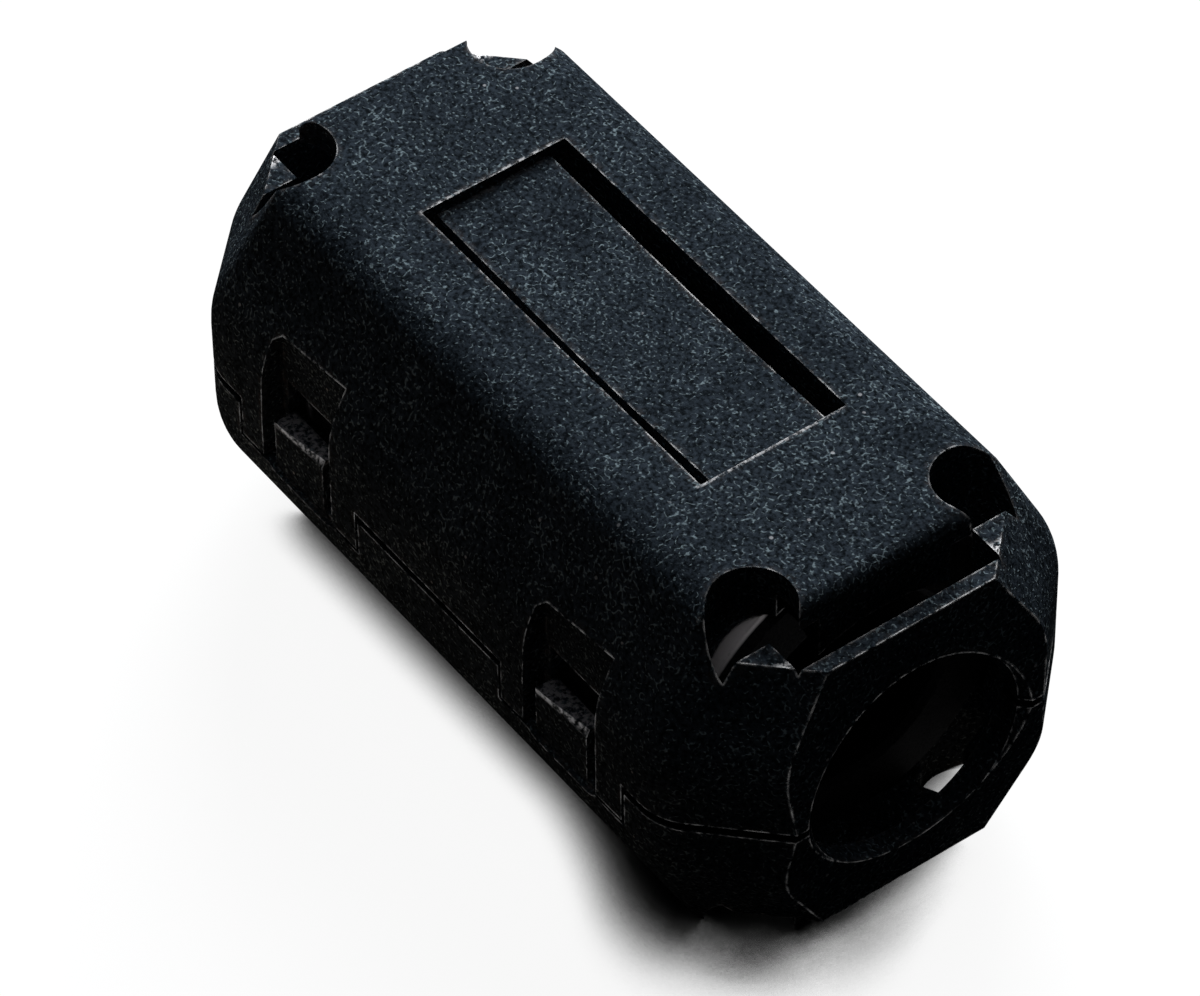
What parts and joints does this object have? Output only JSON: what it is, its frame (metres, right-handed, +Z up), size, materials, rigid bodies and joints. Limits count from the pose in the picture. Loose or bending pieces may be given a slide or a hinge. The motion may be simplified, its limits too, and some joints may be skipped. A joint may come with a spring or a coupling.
{
  "type": "clip-on ferrite bead",
  "caption": "Black plastic case that folds shut round a cable and holds a split ferrite tube, with a spring window in the top, snap latches and a strap hinge.",
  "frame": {"origin": "middle of the cable bore, half way along its length, on the parting face", "axes": "+X along the cable, +Y to the hinge side, +Z up to the half that opens; the case rests on its bottom face"},
  "size_m": [0.035, 0.0195, 0.0176],
  "materials": {
    "case_plastic": "moulded black, fine spark-eroded grain",
    "ferrite": "sintered, dull dark grey"
  },
  "bodies": {
    "lower": {"lower_shell": "case_plastic", "lower_core": "ferrite", "hinge_strap_front": "case_plastic", "hinge_strap_rear": "case_plastic"},
    "upper": {"upper_shell": "case_plastic", "upper_core": "ferrite"}
  },
  "joints": [
    {"name": "lid", "type": "hinge", "parent": "lower", "child": "upper", "pos_m": [0, 0.01045, 0], "axis": [-1, 0, 0], "range_deg": [0, 180], "deforming": ["hinge_strap_front", "hinge_strap_rear"]}
  ]
}
